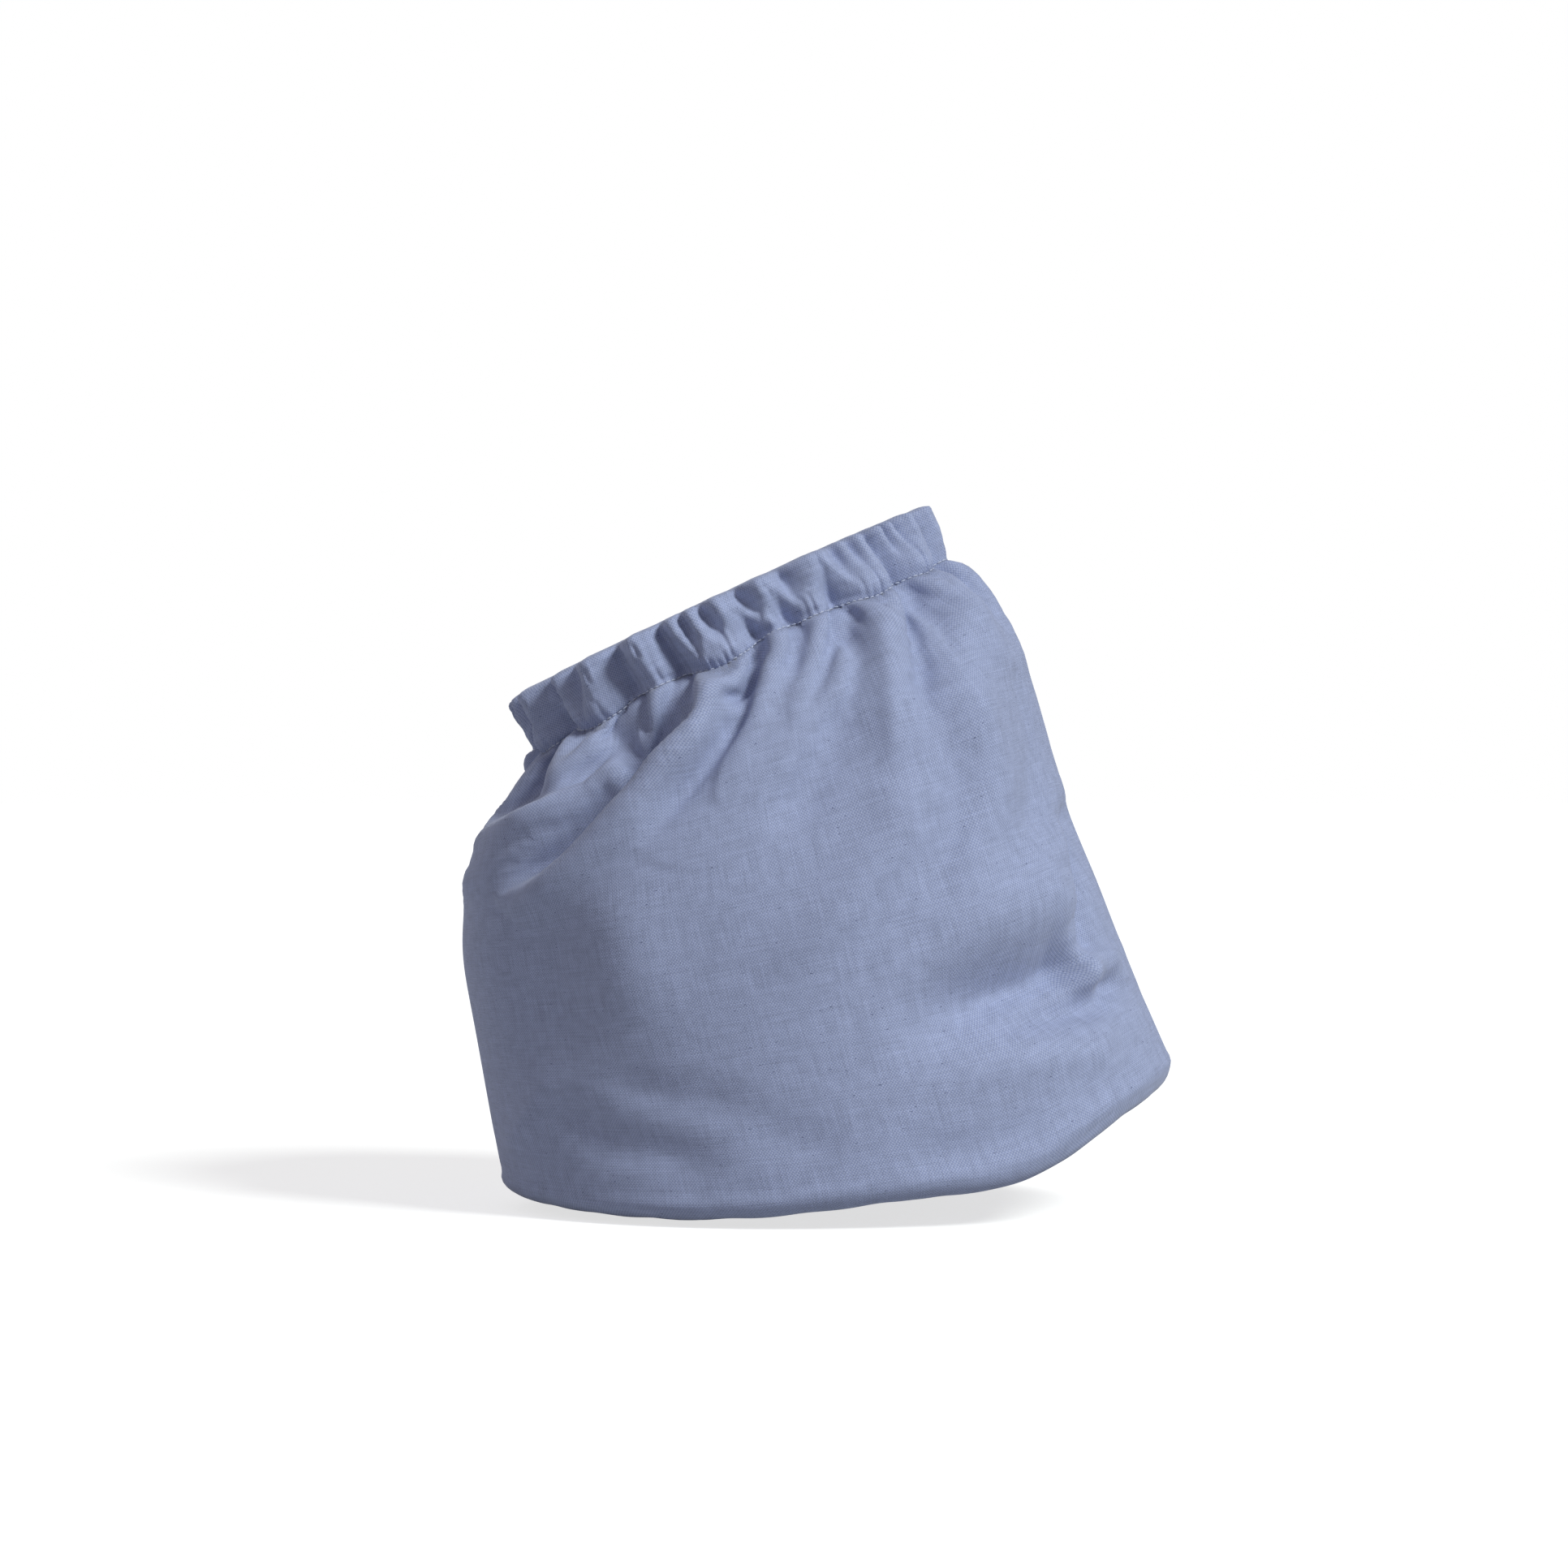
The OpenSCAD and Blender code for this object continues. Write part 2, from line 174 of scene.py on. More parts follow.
def loose_gathers(count, spread):
    """So many gathers of uneven width."""
    width = np.maximum(chance.lognormal(0.0, spread, count), 0.45)
    return puffs(np.concatenate([[0.0], np.cumsum(width)]) / width.sum() * POINTS_ROUND, 0.8)


def fitted(row_at, wave, length, deepest):
    """The row with gathers just deep enough for its way round to be this length."""
    low, high = 0.0, deepest
    if way_round(row_at(deepest * wave)) <= length:
        return row_at(deepest * wave), deepest
    for _ in range(16):
        middle = 0.5 * (low + high)
        if way_round(row_at(middle * wave)) < length:
            low = middle
        else:
            high = middle
    return row_at(low * wave), low


def casing_rows(centre, tilt, half, lift, dip, foot_wave, top_wave, deepest, length, waver=0.0):
    """The two layers of a casing, from the inner foot over the top to the outer foot."""
    drift = 3.0 * unit_wave(softened(chance.standard_normal(POINTS_ROUND), 14))
    up = np.array([-math.sin(math.radians(tilt)), 0.0, math.cos(math.radians(tilt))])
    inner, outer, plain_inner, plain_outer = [], [], [], []
    for step in range(LAYER_ROWS + 1):
        f = step / LAYER_ROWS
        height = lift + mix(STITCH_HEIGHT + waver, CASING_HEIGHT - 0.9, f)
        held = math.exp(-f / 0.22)          # the layers are drawn together at the stitch row
        wave = slid(mix(foot_wave, top_wave, 0.75 * ease((f - 0.1) / 0.8)), drift * (f - 0.2))

        def row_at(out):
            return oval_row(centre, tilt, half, height, dip, OUTER_LAYER - 0.35 * held + out)

        row, depth = fitted(row_at, wave, length, deepest * mix(1.0, 0.85, held))
        outer.append(row)

        def slack_at(out):
            return oval_row(centre, tilt, half, height, dip, INNER_LAYER - out)

        slack = fitted(slack_at, wave.max() - wave, 0.92 * length, 0.8 * deepest)[0]
        beside = oval_row(centre, tilt, half, height, dip, OUTER_LAYER - 0.9 + depth * wave)
        inner.append(mix(slack, beside, math.exp(-f / 0.09)))
        plain_inner.append(oval_row(centre, tilt, half, height, dip, INNER_LAYER))
        plain_outer.append(oval_row(centre, tilt, half, height, dip, OUTER_LAYER))
    gathered, plain = list(inner), list(plain_inner)
    for step in range(1, TURN_ROWS):
        f = step / TURN_ROWS
        gathered.append(mix(inner[-1], outer[-1], f) + math.sin(math.pi * f) * up)
        plain.append(mix(plain_inner[-1], plain_outer[-1], f) + math.sin(math.pi * f) * up)
    return gathered + outer[::-1], plain + plain_outer[::-1]


# Where the neck elastic pinches the cloth hardest, in degrees round from the back
NECK_PINCHES = [105, 122, 138, 158, 173, 190, 213.7, 240.6, 255, 275,
                284.3, 298, 319.5, 339, 357, 372, 391, 408, 420, 436, 450]
neck_wave = pinched_at(NECK_PINCHES)
neck_top_wave = loose_gathers(36, 0.5)
shoulder_wave = loose_gathers(24, 0.3)
neck_waver = -STITCH_WAVER * unit_wave(softened(neck_wave, 6))

rows, plain_rows = casing_rows(NECK_CENTRE, NECK_TILT, NECK_HALF, -CASING_HEIGHT / 2, 0.0,
                               neck_wave, neck_top_wave, NECK_PUFF, NECK_FULLNESS, neck_waver)
NECK_STITCH = len(rows) - 1

# The wall puffs out at the back just below the casing, and at the front lower down. Each swell has its
# angle and share of the way down, its spread round and along, and its height.
WALL_SWELLS = [(0, 0.17, 45, 0.17, 8.5), (180, 0.10, 45, 0.10, -3.5), (180, 0.28, 45, 0.07, 3.5),
               (180, 0.42, 50, 0.20, 3.5)]
# How early, on the way down, the wall loses its tilt, moves back, swells, dips at the sides and sags
TILT_EASE, BACK_EASE, SWELL_EASE, DIP_EASE, SAG_EASE = 2.2, 1.6, 0.55, 1.5, 3
neck_lean = math.radians(NECK_TILT)
wall_top = (STITCH_HEIGHT - CASING_HEIGHT / 2) * np.array([-math.sin(neck_lean), 0.0, math.cos(neck_lean)])
wall_centre, wall_tilt, wall_half = [], [], []
for step in range(1, WALL_ROWS + 1):
    down = step / WALL_ROWS
    centre = np.array([mix(wall_top[0], ROLL_CENTRE[0], down ** BACK_EASE), 0.0,
                       mix(wall_top[2], ROLL_CENTRE[2], down)])
    tilt = mix(NECK_TILT, ROLL_TILT, 1 - (1 - down) ** TILT_EASE)
    swollen = math.sin(math.pi * down ** SWELL_EASE)
    half = mix(NECK_HALF + OUTER_LAYER, ROLL_HALF, down) + WALL_BELLY * swollen
    dip = ROLL_DIP * down ** DIP_EASE
    angle = even_angles(half)
    # The folds lean to the front on their way down, and are shallower at the back
    fan = -np.sin(angle) * mix(-6.0, 24.0, ease((60 - 70 * np.cos(angle)) / 60))
    wave = unit_wave(softened(slid(neck_wave, fan * min(1.0, down / 0.35)), 1.0 + 36.0 * down))
    wave *= mix(1.0, 0.55 + 0.45 * np.sin(angle / 2) ** 2, ease(down / 0.15))
    low = neck_waver * (1 - ease(down / 0.12)) - roll_sag(angle) * down ** SAG_EASE
    swell = wall_swell(angle, down)
    plain = oval_row(centre, tilt, half, low, dip, swell)
    length = max(NECK_FULLNESS * (1 + 0.9 * down), 0.996 * way_round(plain))
    puffed = mix(2.2, 0.0, ease(down / 0.05))

    def row_at(out):
        return oval_row(centre, tilt, half, low, dip, puffed + swell + out)

    deepest = mix(3.8, 4.2, ease(down / 0.1)) * mix(1.0, 0.25, ease((down - 0.12) / 0.45))
    rows.append(fitted(row_at, wave, length, deepest)[0])
    plain_rows.append(plain)
    wall_centre.append(centre)
    wall_tilt.append(tilt)
    wall_half.append(half)
WALL_END = len(rows) - 1
wall_centre, wall_tilt, wall_half = np.array(wall_centre), np.array(wall_tilt), np.array(wall_half)

# The edge turns under over the first share of its rows, and the rest run in to the shoulder stitch row
ROLL_SHARE, ROLL_TURN = 0.45, 100.0
tuck_half = SHOULDER_HALF + OUTER_LAYER
for step in range(1, ROLL_ROWS + 1):
    f = step / ROLL_ROWS
    turn = min(1.0, f / ROLL_SHARE) * math.radians(ROLL_TURN)
    run = max(0.0, (f - ROLL_SHARE) / (1 - ROLL_SHARE))
    half = mix(ROLL_HALF - ROLL_RADIUS * (1 - math.cos(turn)), tuck_half, ease(run))
    height = mix(-ROLL_RADIUS * math.sin(turn), SHOULDER_RISE + STITCH_HEIGHT, ease(run) ** 1.2)
    height = height - roll_sag(even_angles(half)) * (1 - ease(run))
    wave = unit_wave(softened(shoulder_wave, mix(9.0, 1.0, run)))
    plain = oval_row(ROLL_CENTRE, ROLL_TILT, half, height, ROLL_DIP)
    tuck_round = way_round(oval_row(ROLL_CENTRE, ROLL_TILT, tuck_half, height, ROLL_DIP))
    length = way_round(plain) * mix(1.0, SHOULDER_FULLNESS / tuck_round, run ** 1.5)

    def row_at(out):
        return oval_row(ROLL_CENTRE, ROLL_TILT, half, height, ROLL_DIP, 2.0 * run + out)

    rows.append(fitted(row_at, wave, length, 3.0)[0])
    plain_rows.append(plain)
SHOULDER_STITCH = len(rows) - 1
gathered, plain = casing_rows(ROLL_CENTRE, ROLL_TILT, SHOULDER_HALF, SHOULDER_RISE, ROLL_DIP,
                              shoulder_wave, shoulder_wave, SHOULDER_PUFF, SHOULDER_FULLNESS)
rows += gathered[-2::-1]
plain_rows += plain[-2::-1]
laid, plain_form = np.array(rows), np.array(plain_rows)
ROWS = len(laid)
down_wall = (np.arange(ROWS) - NECK_STITCH) / WALL_ROWS

# Folds in the wall, each a line of (x, z) seen from the side, with its height, its width and the lengths
# over which its two ends fade
NEAR_FOLDS = [
    ([(0, -16), (-8, -30), (-22, -43), (-32, -57), (-50, -75), (-72, -94)], 9.0, 7.0, (10, 25)),
    ([(-8, -20), (-12, -27), (-27, -39), (-37, -52), (-55, -70), (-74, -86)], -11.0, 5.5, (8, 22)),
    ([(-34, -47), (-51, -56), (-67, -64), (-89, -75)], 8.0, 5.0, (8, 22)),
    ([(-40, -44), (-60, -54), (-76, -62)], -4.0, 7.0, (14, 20)),
    ([(9, -4), (-1, -33), (-17, -54), (-28, -72)], -8.0, 6.0, (5, 35)),
    ([(16, -8), (8, -34), (-6, -58)], 4.0, 7.0, (8, 25)),
    ([(-52, -28), (-51, -43), (-56, -56)], 3.0, 4.0, (8, 12)),
    ([(-66, -46), (-78, -58)], -3.5, 4.0, (8, 10)),
    ([(-26, -24), (-32, -36), (-42, -46)], -4.5, 4.5, (6, 12)),
    ([(33, 6), (31, -11), (26, -28)], -5.0, 4.0, (4, 18)),
    ([(37, -22), (33, -38), (26, -52), (14, -70)], -3.0, 8.0, (12, 25)),
    ([(54, -44), (54, -66), (36, -90), (10, -116)], 3.5, 9.0, (20, 45)),
    ([(52, 14), (57, 4), (62, -12), (64, -34)], -11.0, 6.0, (4, 28)),
    ([(46, 8), (50, -8), (52, -30), (53, -50)], 5.0, 5.5, (8, 24)),
    ([(74, 10), (78, -14), (76, -44)], 3.0, 8.0, (8, 25)),
    ([(66, -24), (73, -58), (66, -92)], -2.5, 7.0, (10, 25)),
    ([(73, -18), (85, -52), (71, -91)], 3.0, 8.0, (12, 22)),
    ([(94, -8), (100, -38), (98, -72)], -3.0, 7.0, (12, 15)),
    ([(114, -54), (116, -82), (119, -107)], -6.0, 4.0, (10, 6)),
    ([(108, -60), (110, -82), (112, -96)], 2.5, 5.0, (14, 10)),
    ([(112, -84), (98, -88), (82, -93), (60, -104)], 5.0, 14.0, (12, 35)),
    ([(115, -107), (103, -113), (88, -117), (72, -124), (50, -136)], -9.0, 12.0, (8, 45)),
    ([(117, -108), (103, -115), (88, -120), (72, -128)], -4.5, 5.0, (5, 30)),
    ([(117, -108), (121, -117)], 5.0, 4.0, (5, 4)),
    ([(128, -113), (123, -122), (113, -125), (100, -127), (84, -131)], -7.0, 5.0, (5, 30)),
    ([(128, -135), (108, -138), (84, -142), (56, -147)], 3.0, 8.0, (12, 50)),
    ([(-62, -152), (-40, -167), (0, -173)], -3.0, 7.5, (25, 25)),
    ([(-46, -144), (-18, -152), (14, -155)], -2.0, 7.5, (22, 25)),
    ([(4, -162), (38, -167)], -1.5, 8.0, (15, 15)),
    ([(52, -171), (84, -167), (108, -157)], -2.5, 7.5, (22, 22)),
    ([(-38, -76), (-31, -105), (-26, -136)], 3.0, 14.0, (25, 30)),
    ([(-64, -86), (-58, -115), (-49, -148)], -3.0, 13.0, (25, 30)),
    ([(-75, -174), (-63, -155), (-55, -142)], 2.0, 6.0, (8, 12)),
]
FAR_FOLDS = [
    ([(-10, -22), (-30, -46), (-58, -72), (-80, -92)], 5.0, 7.0, (10, 30)),
    ([(-20, -24), (-40, -46), (-66, -68)], -6.0, 6.0, (8, 25)),
    ([(22, -8), (14, -40), (2, -66)], -4.0, 7.0, (8, 25)),
    ([(56, 6), (60, -20), (56, -46)], -4.5, 6.0, (6, 20)),
    ([(88, -10), (92, -50), (90, -86)], -3.0, 8.0, (12, 25)),
    ([(112, -98), (84, -112), (46, -116)], -4.0, 10.0, (30, 30)),
    ([(-40, -120), (-10, -128), (20, -126)], -3.0, 10.0, (15, 20)),
]


def fold_height(place, line, height, width, ends):
    """How far a fold lifts or sinks the cloth at each place."""
    line = np.array(line, float)
    seen = place[..., [0, 2]]
    nearest = np.full(seen.shape[:-1], 1e9)
    reached = np.zeros(seen.shape[:-1])
    run = 0.0
    for a, b in zip(line[:-1], line[1:]):
        span = np.hypot(*(b - a))
        part = np.clip(((seen - a) @ (b - a)) / span ** 2, 0, 1)
        away = np.linalg.norm(seen - (a + part[..., None] * (b - a)), axis=-1)
        reached = np.where(away < nearest, run + part * span, reached)
        nearest = np.minimum(nearest, away)
        run += span
    fade = ease(reached / ends[0] + 0.15) * ease((run - reached) / ends[1] + 0.15)
    crisp = mix(1.2, 2.0, ease((width - 6) / 2))        # a narrow fold is creased, a broad one is round
    return height * fade * np.exp(-(nearest / width) ** crisp)


def outward(form):
    """Unit normals of the rows, pointing out of the tube."""
    round_step = np.roll(form, -1, axis=1) - np.roll(form, 1, axis=1)
    normal = np.cross(np.gradient(form, axis=0), round_step)
    return normal / np.linalg.norm(normal, axis=-1, keepdims=True)


fold = np.zeros(plain_form.shape[:2])
wall = slice(NECK_STITCH + 1, WALL_END + 1)
nearness = ease(0.5 - plain_form[wall][..., 1] / 24)
for side, folds in ((nearness, NEAR_FOLDS), (1 - nearness, FAR_FOLDS)):
    for line, height, width, ends in folds:
        fold[wall] += side * fold_height(plain_form[wall], line, height, width, ends)
fold *= ease(down_wall / 0.04)[:, None]
plain_out = outward(plain_form)
# Where the front turns away to the far side the folds are shallow
across_front = ease(np.abs(plain_out[..., 1]) / 0.5)
fold *= np.where(plain_out[..., 0] < 0, mix(0.2, 1.0, across_front), 1.0)
laid = laid + plain_out * fold[..., None]

# The cloth settles: its threads keep their length, it resists bending, the elastics hold the casings and
# friction keeps the gathers in place, while the wall relaxes round its folds
PINCHED_STIFFNESS = 0.25                   # share of its stiffness left to the hard-pinched neck casing


def size(v):
    return np.sqrt(np.einsum("...k,...k->...", v, v))


def pull(a, b, rest, strength):
    gap = b - a
    gap *= (0.5 * strength * (1.0 - rest / size(gap)))[..., None]
    a += gap
    b -= gap


def push(a, b, rest, strength):
    gap = b - a
    gap *= (0.5 * strength * np.minimum(1.0 - rest / size(gap), 0.0))[..., None]
    a += gap
    b -= gap


def hold_round(x, rest, strength):
    pull(x[:, 0::2], x[:, 1::2], rest[:, 0::2], strength)
    pull(x[:, 1:-1:2], x[:, 2::2], rest[:, 1:-1:2], strength)
    pull(x[:, -1], x[:, 0], rest[:, -1], strength)


def hold_along(x, rest, strength):
    for first in (0, 1):
        end = first + 2 * ((len(x) - first) // 2)
        pull(x[first:end:2], x[first + 1:end:2], rest[first:end:2], strength)


def hold_bias(x, rest_left, rest_right, strength):
    for first in (0, 1):
        end = first + 2 * ((len(x) - first) // 2)
        a, b = x[first:end:2], x[first + 1:end:2]
        left, right = rest_left[first:end:2], rest_right[first:end:2]
        pull(a[:, :-1], b[:, 1:], left[:, :-1], strength)
        pull(a[:, -1], b[:, 0], left[:, -1], strength)
        pull(a[:, 1:], b[:, :-1], right[:, 1:], strength)
        pull(a[:, 0], b[:, -1], right[:, 0], strength)


def resist_bend_round(x, rest, strength, reach):
    shape = (len(x), x.shape[1] // (2 * reach), 2 * reach)
    group, length = x.reshape(shape + (3,)), rest.reshape(shape)
    push(group[:, :, :reach], group[:, :, reach:], length[:, :, :reach], strength)
    push(group[:, :-1, reach:], group[:, 1:, :reach], length[:, :-1, reach:], strength)
    push(group[:, -1, reach:], group[:, 0, :reach], length[:, -1, reach:], strength)


def resist_bend_along(x, rest, strength, reach):
    for first in range(2 * reach):
        a = x[first:len(x) - reach:2 * reach]
        b = x[first + reach::2 * reach][:len(a)]
        push(a, b, rest[first:len(x) - reach:2 * reach][:len(a)], strength)


def to_oval(x, centre, tilt):
    lean = np.radians(tilt)
    dx, dz = x[..., 0] - centre[..., 0], x[..., 2] - centre[..., 2]
    return dx * np.cos(lean) + dz * np.sin(lean), x[..., 1], dz * np.cos(lean) - dx * np.sin(lean)


def from_oval(u, v, w, centre, tilt):
    lean = np.radians(tilt)
    return np.stack([centre[..., 0] + u * np.cos(lean) - w * np.sin(lean), v,
                     centre[..., 2] + u * np.sin(lean) + w * np.cos(lean)], axis=-1)


def keep_between(x, centre, tilt, half, low, high):
    """Keep the cloth no closer to an oval than low and no further out than high."""
    u, v, w = to_oval(x, centre, tilt)
    ratio = np.sqrt((u / half[..., 0]) ** 2 + (v / half[..., 1]) ** 2)
    gu, gv = u / half[..., 0] ** 2, v / half[..., 1] ** 2
    steep = np.hypot(gu, gv)
    out = (ratio - 1) * ratio / steep
    move = (np.clip(out, low, high) - out) / steep
    x[...] = from_oval(u + move * gu, v + move * gv, w, centre, tilt)


def grip(x, aim, centre, tilt, half, round_grip, up_grip):
    """Friction on an elastic: the cloth keeps its place round it and up it, and is free to move out."""
    u, v, w = to_oval(x, centre, tilt)
    aim_u, aim_v, aim_w = to_oval(aim, centre, tilt)
    gu, gv = -v / half[1] ** 2, u / half[0] ** 2
    steep = np.hypot(gu, gv)
    slip = ((aim_u - u) * gu + (aim_v - v) * gv) / steep * round_grip
    lifted = w + up_grip * (aim_w - w)
    x[...] = from_oval(u + slip * gu / steep, v + slip * gv / steep, lifted, centre, tilt)


def doubled_round(x):
    """The same rows with twice as many points round."""
    finer = np.empty((x.shape[0], 2 * x.shape[1], 3))
    finer[:, 0::2] = x
    finer[:, 1::2] = (9 * (x + np.roll(x, -1, 1)) - np.roll(x, 1, 1) - np.roll(x, -2, 1)) / 16
    return finer


def doubled_along(x):
    """The same cloth with a row added between each two."""
    ends = np.concatenate([2 * x[:1] - x[1:2], x, 2 * x[-1:] - x[-2:-1]])
    finer = np.empty((2 * x.shape[0] - 1,) + x.shape[1:])
    finer[0::2] = x
    finer[1::2] = (9 * (ends[1:-2] + ends[2:-1]) - ends[:-3] - ends[3:]) / 16
    return finer


def settle(x, coarse, turns, hold, stiffness, wide_stiffness):
    """Let the cloth relax, at one point in so many."""
    aim = laid[::coarse, ::coarse]
    rest_round = softened(size(np.roll(aim, -1, axis=1) - aim), 7 / coarse)
    rest_along = softened(size(np.diff(aim, axis=0)), 5 / coarse)
    rest_left = softened(size(np.roll(aim[1:], -1, axis=1) - aim[:-1]), 5 / coarse)
    rest_right = softened(size(np.roll(aim[1:], 1, axis=1) - aim[:-1]), 5 / coarse)
    rest_two = rest_along[:-1] + rest_along[1:]
    neck, low, shoulder = NECK_STITCH // coarse, WALL_END // coarse, SHOULDER_STITCH // coarse
    rest_four = (rest_two[:-2] + rest_two[2:])[neck:low - 3]
    layer, turn, foot = LAYER_ROWS // coarse, TURN_ROWS // coarse, 2 // coarse

    down = down_wall[::coarse][neck + 1:low + 1]
    held = np.zeros(x.shape[:2] + (1,))
    held[neck + 1:low + 1, :, 0] = hold * mix(0.2, 1.0, ease((down - 0.05) / 0.35))[:, None]
    held[:, :, 0] *= 1 + 30 * np.minimum(1, np.abs(fold[::coarse, ::coarse]) / 3)
    held[low + 1:shoulder] = hold * 1.5
    held[layer + turn:neck] = hold * 16
    wall_rows = np.arange(neck + 1, low + 1) * coarse - NECK_STITCH - 1
    centre, tilt, half = (v[wall_rows][:, None] for v in (wall_centre, wall_tilt, wall_half))
    frontness = np.sin(even_angles(ROLL_HALF - 10)[::coarse] / 2) ** 2
    deepest = -1.0 - (10.0 + 10.0 * frontness)[None] * ease(down / 0.15)[:, None]
    from_lap = away_from(even_angles(NECK_HALF), LAP_ANGLE)[::coarse]
    over_lap = OUTER_LAYER + np.exp(-(from_lap / 16) ** 2)

    before = x.copy()
    for _ in range(turns):
        x, before = x + 0.85 * (x - before), x
        x += held * (aim - x)
        hold_bias(x, rest_left, rest_right, 0.06)
        resist_bend_round(x[neck:], 2 * rest_round[neck:], stiffness, 2)
        resist_bend_round(x[:neck], 2 * rest_round[:neck], PINCHED_STIFFNESS * stiffness, 2)
        resist_bend_along(x, rest_two, stiffness, 2)
        resist_bend_round(x[neck:low + 1], 4 * rest_round[neck:low + 1], wide_stiffness, 4)
        resist_bend_along(x[neck:low + 1], rest_four, wide_stiffness, 4)
        hold_round(x, rest_round, 0.9)
        hold_along(x, rest_along, 0.9)
        keep_between(x[foot:layer + 1], NECK_CENTRE, NECK_TILT, NECK_HALF, -8.5, INNER_LAYER)
        keep_between(x[layer + 1:layer + turn], NECK_CENTRE, NECK_TILT, NECK_HALF, -6.0, 9.5)
        keep_between(x[layer + turn:neck], NECK_CENTRE, NECK_TILT, NECK_HALF, over_lap, 12.0)
        keep_between(x[neck:neck + 1], NECK_CENTRE, NECK_TILT, NECK_HALF, 1.0, 12.0)
        grip(x[:neck + 1], aim[:neck + 1], NECK_CENTRE, NECK_TILT, NECK_HALF, 0.06, 0.25)
        x[0] = x[neck] = 0.5 * (x[0] + x[neck])
        over = shoulder + layer
        keep_between(x[shoulder:over + 1], ROLL_CENTRE, ROLL_TILT, SHOULDER_HALF, over_lap - 0.45, 8.5)
        keep_between(x[over + 1:over + turn], ROLL_CENTRE, ROLL_TILT, SHOULDER_HALF, -6.0, 8.5)
        keep_between(x[over + turn:-foot], ROLL_CENTRE, ROLL_TILT, SHOULDER_HALF, -6.5, INNER_LAYER)
        grip(x[shoulder:], aim[shoulder:], ROLL_CENTRE, ROLL_TILT, SHOULDER_HALF, 0.06, 0.25)
        x[-1] = x[shoulder] = 0.5 * (x[-1] + x[shoulder])
        keep_between(x[neck + 1:low + 1], centre, tilt, half, deepest, 14.0)
    return x


cloth = settle(laid[::2, ::2].copy(), coarse=2, turns=300, hold=0.01, stiffness=0.25, wide_stiffness=0.1)
cloth = doubled_along(doubled_round(cloth))
cloth = settle(cloth, coarse=1, turns=150, hold=0.004, stiffness=0.2, wide_stiffness=0.08)

# The body panel
# The wall of the tube: grey-blue chambray, plain woven from darker and paler threads about half a
# millimetre apart, with a few dark slubs. It runs from the neck stitch row down to the rolled edge, and in
# under it to the shoulder stitch row.
CLOTH_THICKNESS = 0.0005
CLOTH_ROUND = 650.0
THREAD_PITCH = 0.55
cloth_reach = np.concatenate([[0.0], np.cumsum(size(np.diff(cloth, axis=0)).mean(axis=1))])


def as_colour(red, green, blue):
    """A colour written as it looks on a screen, 0 to 255, in the renderer's own measure."""
    return tuple(((c / 255 + 0.055) / 1.055) ** 2.4 for c in (red, green, blue)) + (1.0,)


def add_node(material, kind, settings=(), **inputs):
    """A material node: inputs are numbers, colours, or sockets of other nodes."""
    made = material.node_tree.nodes.new(kind)
    for name, value in dict(settings).items():
        setattr(made, name, value)
    for name, value in inputs.items():
        key = int(name[1:]) if name[1:].isdigit() else name.replace("_", " ")
        if isinstance(value, bpy.types.NodeSocket):
            material.node_tree.links.new(value, made.inputs[key])
        else:
            made.inputs[key].default_value = value
    return made


def arithmetic(material, operation, a, b=0.0, c=0.0):
    return add_node(material, "ShaderNodeMath", {"operation": operation}, i0=a, i1=b, i2=c).outputs[0]


def blend_colour(material, kind, factor, a, b):
    settings = {"data_type": "RGBA", "blend_type": kind}
    return add_node(material, "ShaderNodeMix", settings, i0=factor, i6=a, i7=b).outputs[2]


def new_material(name, roughness, sheen):
    """A matt material and its shader, whose colour and bump are then filled in."""
    material = bpy.data.materials.new(name)
    material.use_nodes = True
    shader = material.node_tree.nodes["Principled BSDF"]
    shader.inputs["Roughness"].default_value = roughness
    shader.inputs["Sheen Weight"].default_value = sheen
    shader.inputs["Specular IOR Level"].default_value = 0.25
    return material, shader


